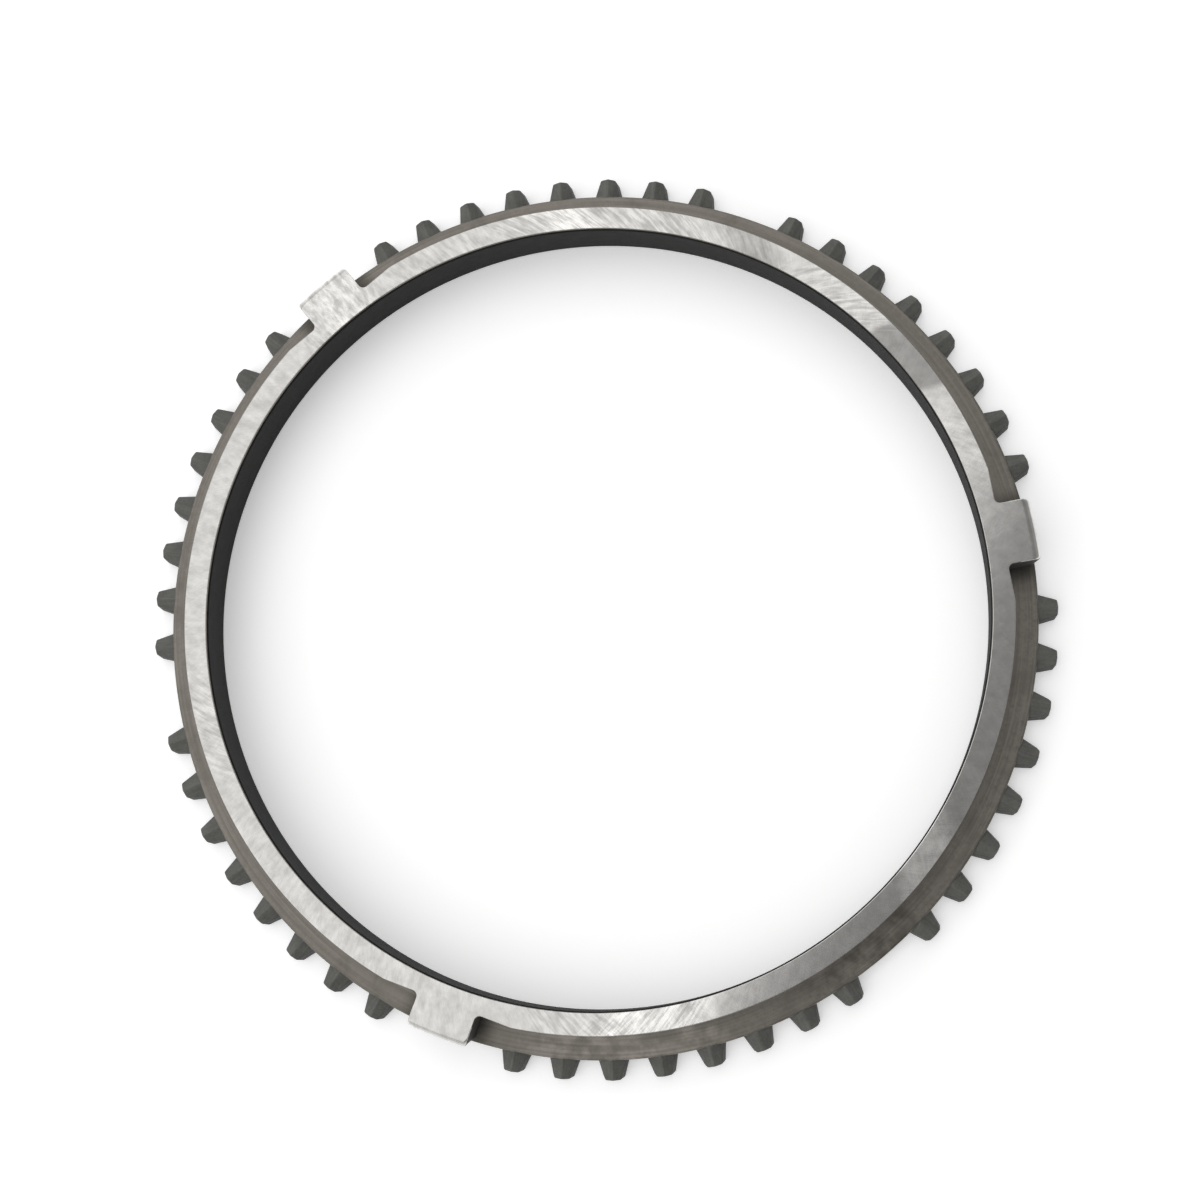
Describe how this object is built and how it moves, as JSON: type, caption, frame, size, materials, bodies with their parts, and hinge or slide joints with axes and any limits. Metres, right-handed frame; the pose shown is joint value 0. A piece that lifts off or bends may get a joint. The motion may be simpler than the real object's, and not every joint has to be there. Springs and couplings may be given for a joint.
{
  "type": "synchronizer ring",
  "caption": "Toothed steel ring with a raised ground rim, drive lugs and a black friction lining in its cone bore, for a manual gearbox.",
  "frame": {"origin": "on the ring's axis, in the flat gear-side face that it rests on", "axes": "+Z along the axis towards the hub side with the ground rim, +X through the middle of one drive lug"},
  "size_m": [0.1728, 0.174, 0.0126],
  "materials": {
    "forged_steel": "turned, with a ground hub-side face",
    "friction_lining": "matte, slightly mottled"
  },
  "bodies": {
    "root": {"ring_body": "forged_steel", "friction_lining": "friction_lining"}
  },
  "joints": []
}
